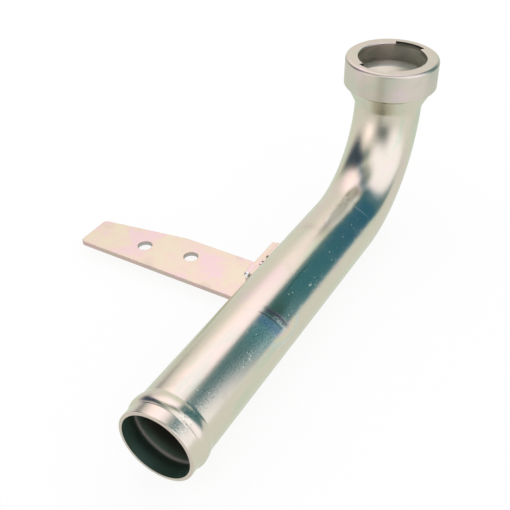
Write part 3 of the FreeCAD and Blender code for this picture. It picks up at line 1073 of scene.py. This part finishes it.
def makeBracket(sizes):
    low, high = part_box("mounting_bracket")
    half = sizes.sheet / 2
    foldRadius = sizes.foldRadius + half
    foldLength = foldRadius * pi / 2
    foldStart = -tubeRadius - sizes.sheet - sizes.foldRadius
    foldEnd = foldStart + foldLength
    flangeEnd = foldEnd + high.z - (low.z + sizes.sheet + sizes.foldRadius)
    inset = sizes.flangeInset
    outline = bracketOutline([
        (Vector((low.x, low.y)), sizes.corner),
        (Vector((foldEnd, low.y)), 0),
        (Vector((foldEnd, low.y + inset)), 0),
        (Vector((flangeEnd, low.y + inset)), sizes.flangeCorner),
        (Vector((flangeEnd, high.y - inset)), sizes.flangeCorner),
        (Vector((foldEnd, high.y - inset)), 0),
        (Vector((foldEnd, high.y)), 0),
        (Vector((-sizes.taperStart, high.y)), sizes.taperRound),
        (Vector((low.x, high.y - sizes.taper)), sizes.corner),
    ])
    loops = [outline]
    holes = []
    for name in ("outer_bolt_hole", "inner_bolt_hole"):
        place = Vector(mounts[name]["pos_m"][:2])
        radius = mounts[name]["dims"]["r_mm"] * mm
        ring = arcPoints(place, radius, 0, -360, sizes.holeSides)[:-1]
        loops.append([Vector(point) for point in ring])
        holes.append((place, radius + sizes.holeBand))

    shape = bmesh.new()
    shape.from_mesh(bracketBlank(sizes, loops))
    bmesh.ops.remove_doubles(shape, verts=shape.verts, dist=joinGap)
    shape.normal_update()
    for face in shape.faces:
        middle = face.calc_center_median()
        inHole = any((middle.xy - place).length < reach for place, reach in holes)
        sheared = abs(face.normal.z) < 0.5 and middle.x < flangeEnd - sizes.topBand
        face.material_index = (2 if inHole else 1) if sheared else 0
    cuts = [foldStart + foldLength * step / sizes.foldSteps for step in range(sizes.foldSteps + 1)]
    for place in (*cuts, *sizes.plateCuts):
        everything = shape.verts[:] + shape.edges[:] + shape.faces[:]
        bmesh.ops.bisect_plane(shape, geom=everything, plane_co=(place, 0, 0), plane_no=(1, 0, 0),
                               dist=sizes.cutGap)
    for vertex in shape.verts:
        along = vertex.co.x - foldStart
        angle = min(max(along / foldRadius, 0.0), pi / 2)
        beyond = max(along - foldLength, 0.0)
        reach = foldRadius - vertex.co.z
        x = foldStart + min(along, 0.0) + reach * sin(angle)
        z = low.z + half + foldRadius - reach * cos(angle) + beyond
        vertex.co = (x, vertex.co.y, z)
    bmesh.ops.recalc_face_normals(shape, faces=shape.faces)
    piece = addPiece("mountingBracket", shape, bracketFinish, shearedFinish, holeFinish)
    finishPiece(piece, "mounting_bracket", sizes.crease, True)


makeBracket(bracketSizes)


# Weld: a low run, nearly flush with the flange's edge, with pits and the lump where it was struck
weldSizes = Values(
    onFlange=0.6 * mm,  # how far the run laps over the flange's edge
    onTube=8.2 * mm,  # height at which it ends on the tube
    depth=5.1 * mm,  # foot of the run in the groove
    footRise=0.2 * mm,
    footSteps=(0.3, 0.65, 1.0),
    crown=0.06 * mm,
    lump=0.10 * mm,
    ripple=(1.5, 420, 3.1),  # across, along and where its noise starts
    press=0.04 * mm,
    stations=150,
    steps=10,
    pits=[  # place along the tube and half length
        (125.2 * mm, 0.5 * mm),
        (128.1 * mm, 0.7 * mm),
        (133.2 * mm, 1.6 * mm),
    ],
    pitDepth=0.7 * mm,
    pitAt=(0.72, 0.16),  # share across the run and half width
    pitReach=0.75,  # share of a pit's half length that is dark
    sootFrom=2.325 * mm,  # across the run, from where it is darker down to the tube
    pitSootFrom=1.25 * mm,
    nugget=2.0 * mm,
    nuggetTop=0.6 * mm,
    nuggetLumps=[  # scale, offset and height as a share of the lump's radius
        (900, Vector((0, 0, 0)), 0.10),
        (2100, Vector((4, 1, 2)), 0.05),
    ],
    nuggetSwell=0.1,
    crease=60,
)


def weldSection(sizes, y, flangeTop):
    # Over the flange's edge to the tube, down the tube and up the flange's face
    press = sizes.press
    inTube = tubeRadius - press
    start = Vector((-tubeRadius - sizes.onFlange, flangeTop - press))
    end = Vector((-sqrt(inTube * inTube - sizes.onTube ** 2), sizes.onTube))
    pit = max(max(0.0, 1 - abs(y - place) / length) for place, length in sizes.pits)
    pitAt, pitWidth = sizes.pitAt
    across, along, noiseStart = sizes.ripple
    points = []
    for step in range(sizes.steps + 1):
        share = step / sizes.steps
        point = start.lerp(end, share)
        rough = 0.5 + 0.5 * noise.noise(Vector((share * across, y * along, noiseStart)))
        bow = sin(pi * share) ** 2
        hole = sizes.pitDepth * pit * exp(-((share - pitAt) / pitWidth) ** 2)
        points.append((point.x, point.y + bow * (sizes.crown + rough * sizes.lump) - hole))
    for share in sizes.footSteps:
        z = sizes.onTube + (sizes.depth - sizes.onTube) * share
        points.append((-sqrt(inTube * inTube - z * z), z))
    points.append((-tubeRadius - press, sizes.depth + sizes.footRise))
    points.append((-tubeRadius - press, flangeTop - press))
    return points


def makeWeld(sizes):
    flangeLow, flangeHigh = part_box("mounting_bracket")
    flangeTop = flangeHigh.z
    front = flangeLow.y + bracketSizes.flangeInset
    back = flangeHigh.y - bracketSizes.flangeInset
    shape = bmesh.new()
    rings = []
    for station in range(sizes.stations + 1):
        y = front + (back - front) * station / sizes.stations
        rings.append([shape.verts.new((x, y, z)) for x, z in weldSection(sizes, y, flangeTop)])
    joinRings(shape, rings, rings[1:])
    shape.faces.new(rings[0])
    shape.faces.new(rings[-1])
    bmesh.ops.recalc_face_normals(shape, faces=shape.faces)
    for face in shape.faces:
        middle = face.calc_center_median()
        across = middle.x + tubeRadius + sizes.onFlange
        nearPit = any(abs(middle.y - place) < length * sizes.pitReach for place, length in sizes.pits)
        # the run is darker towards the tube and around the pits
        if across > sizes.sootFrom or (nearPit and across > sizes.pitSootFrom):
            face.material_index = 2
    nuggetHeight = flangeTop + sizes.nuggetTop - sizes.nugget
    centre = Vector((-tubeRadius - bracketSizes.sheet / 2, front, nuggetHeight))
    ball = bmesh.ops.create_icosphere(shape, subdivisions=5, radius=sizes.nugget)
    swell = sizes.nuggetSwell
    for vertex in ball["verts"]:
        lumps = sum(noise.noise(vertex.co * scale + offset) * height
                    for scale, offset, height in sizes.nuggetLumps)
        vertex.co = centre + vertex.co * (1 - swell + min(lumps, swell))
        for face in vertex.link_faces:
            face.material_index = 1
    piece = addPiece("bracketWeld", shape, weldFinish, nuggetFinish, darkWeldFinish)
    finishPiece(piece, "bracket_weld", sizes.crease)


makeWeld(weldSizes)


# Studio: a dome that only the metal mirrors, the floor, the lamps and the camera
studio = Values(
    middle=Vector((0.0, 0.13, 0.02)),
    radius=0.8,
    around=(1.03, 1.00, 0.98),  # pale room
    overhead=(0.42, 0.46, 0.44),
    overheadFrom=(62, 76),  # degrees of elevation
    floorRadius=0.36,
    floorTint=(0.92, 0.92, 0.92),
    floorGlow=0.88,  # share of the floor's white that needs no lamp
    floorFade=(0.55, 0.97),  # of its radius
    lampPower=1.25,
    lampDistance=1.4,
    lamps=[  # azimuth, elevation and size
        ("lampLeft", -50, 60, 1.0),
        ("lampRight", 115, 35, 1.2),
    ],
    patches=[  # azimuth from +Y to +X, elevation, half sizes, slant, softness, colour
        ("overRight", 78, 74, 40, 11, 0.0, 0.5, (0.30, 0.40, 0.38)),
        ("behindLeft", -138, 50, 30, 11, 0.0, 0.6, (0.30, 0.37, 0.37)),
        ("softboxRight", 105, 28, 70, 38, 0.0, 0.32, (1.52, 1.46, 1.62)),
        ("greySide", 160, 5, 26, 20, 0.0, 0.8, (0.18, 0.22, 0.22)),
        ("softboxLeft", -54, 60, 36, 26, 0.0, 0.55, (1.72, 1.46, 1.56)),
        ("softboxFront", -18, 58, 36, 13, 0.0, 0.55, (1.72, 1.50, 1.76)),
        ("olive", 6, 42, 12, 5, 0.0, 0.6, (1.28, 1.24, 1.16)),
        ("darkGap", 39.3, 26, 20.7, 36, 0.0, 0.25, (0.085, 0.23, 0.27)),
        ("darkFoot", 20, 41, 10.5, 16, 0.5, 0.4, (0.085, 0.23, 0.27)),
        ("darkLeft", -101, 31, 25, 26, -0.6, 0.4, (0.05, 0.09, 0.14)),
        ("spot", -147, 8, 15, 15, 0.0, 0.8, (1.85, 1.58, 1.70)),
    ],
)


def stageMaterial(name):
    material = bpy.data.materials.new(name)
    material.use_nodes = True
    tree = material.node_tree
    tree.nodes.clear()
    place = out(tree.nodes.new("ShaderNodeTexCoord"), "Object")
    return material, tree, place


def showSurface(tree, node):
    end = tree.nodes.new("ShaderNodeOutputMaterial")
    tree.links.new(node.outputs[0], end.inputs["Surface"])


def studioDome(settings):
    shape = bmesh.new()
    bmesh.ops.create_uvsphere(shape, u_segments=96, v_segments=48, radius=settings.radius)
    bmesh.ops.reverse_faces(shape, faces=shape.faces)
    bmesh.ops.translate(shape, verts=shape.verts, vec=settings.middle)
    material, tree, place = stageMaterial("studioDome")
    fromMiddle = addNode(tree, "ShaderNodeVectorMath", Vector=place)
    fromMiddle.operation = "SUBTRACT"
    fromMiddle.inputs[1].default_value = settings.middle
    x, y, z = axes(out(fromMiddle))
    azimuth = calc("ARCTAN2", x, y) * inDegrees
    elevation = calc("ARCSINE", z / settings.radius) * inDegrees
    high = ramp(elevation, *settings.overheadFrom)
    colour = mixColours(high, settings.around, settings.overhead)
    for _, atAzimuth, atElevation, halfWidth, halfHeight, slant, soft, light in settings.patches:
        upward = elevation - atElevation
        aside = calc("WRAP", azimuth - atAzimuth, 180.0, -180.0) - upward * slant
        across = ramp(calc("ABSOLUTE", aside) / halfWidth, 1 - soft, 1 + soft, 1.0, 0.0)
        along = ramp(calc("ABSOLUTE", upward) / halfHeight, 1 - soft, 1 + soft, 1.0, 0.0)
        colour = mixColours(across * along, colour, light)
    showSurface(tree, addNode(tree, "ShaderNodeEmission", Color=colour, Strength=1.0))
    dome = addPiece("studioDome", shape, material)
    dome.visible_camera = False
    dome.visible_diffuse = False
    dome.visible_transmission = False
    dome.visible_shadow = False


def whiteWorld():
    world = bpy.data.worlds.new("studioWhite")
    scene.world = world
    world.use_nodes = True
    background = world.node_tree.nodes["Background"]
    background.inputs["Color"].default_value = (1, 1, 1, 1)
    background.inputs["Strength"].default_value = 1.0


def makeFloor(settings):
    # Round white floor that fades into the background
    middle = settings.middle
    shape = bmesh.new()
    bmesh.ops.create_circle(shape, cap_ends=True, segments=96, radius=settings.floorRadius)
    bmesh.ops.translate(shape, verts=shape.verts, vec=(middle.x, middle.y, cadBox[0].z))
    material, tree, place = stageMaterial("floorWhite")
    matt = addNode(tree, "ShaderNodeBsdfDiffuse", Color=(*settings.floorTint, 1))
    glow = addNode(tree, "ShaderNodeEmission", Color=(1, 1, 1, 1), Strength=1.0)
    rays = tree.nodes.new("ShaderNodeLightPath")
    shown = calc("MAXIMUM", out(rays, "Is Camera Ray"), out(rays, "Is Glossy Ray"))
    shown = calc("MAXIMUM", shown, out(rays, "Is Transmission Ray"))
    x, y, _ = axes(place)
    aside = x - middle.x
    ahead = y - middle.y
    reach = calc("SQRT", aside * aside + ahead * ahead) / settings.floorRadius
    share = ramp(reach, *settings.floorFade, settings.floorGlow, 1.0)
    blend = addNode(tree, "ShaderNodeMixShader")
    for socket, source in zip(blend.inputs, (shown * share, out(matt), out(glow))):
        feed(socket, source)
    showSurface(tree, blend)
    addPiece("floor", shape, material)


def lampAt(settings, name, azimuth, elevation, size):
    # Soft lamp for the floor and its shadow
    lamp = bpy.data.lights.new(name, "AREA")
    lamp.size = size
    lamp.energy = settings.lampPower
    holder = addObject(name, lamp)
    a = radians(azimuth)
    e = radians(elevation)
    away = Vector((sin(a) * cos(e), cos(a) * cos(e), sin(e)))
    holder.location = (cadBox[0] + cadBox[1]) / 2 + away * settings.lampDistance
    holder.rotation_euler = away.to_track_quat("Z", "Y").to_euler()
    holder.visible_camera = False
    holder.visible_glossy = False


studioDome(studio)
whiteWorld()
makeFloor(studio)
for lampSettings in studio.lamps:
    lampAt(studio, *lampSettings)

cameraView = Values(
    place=Vector((0.151988, -0.168822, 0.276251)),
    looking=Vector((-0.40388, 0.68192, -0.60981)),
    roll=0.87,  # degrees
    focal=792.32,  # pixels on a frame of 510
    frame=510,
    sensor=36,
)


def makeCamera(view):
    lens = bpy.data.cameras.new("camera")
    lens.sensor_fit = "HORIZONTAL"
    lens.sensor_width = view.sensor
    lens.lens = view.sensor * view.focal / view.frame
    holder = addObject("camera", lens)
    level = view.looking.to_track_quat("-Z", "Y").to_matrix()
    turned = level @ Matrix.Rotation(radians(-view.roll), 3, "Z")
    holder.matrix_world = Matrix.Translation(view.place) @ turned.to_4x4()
    scene.camera = holder


makeCamera(cameraView)
print("stage and camera set")
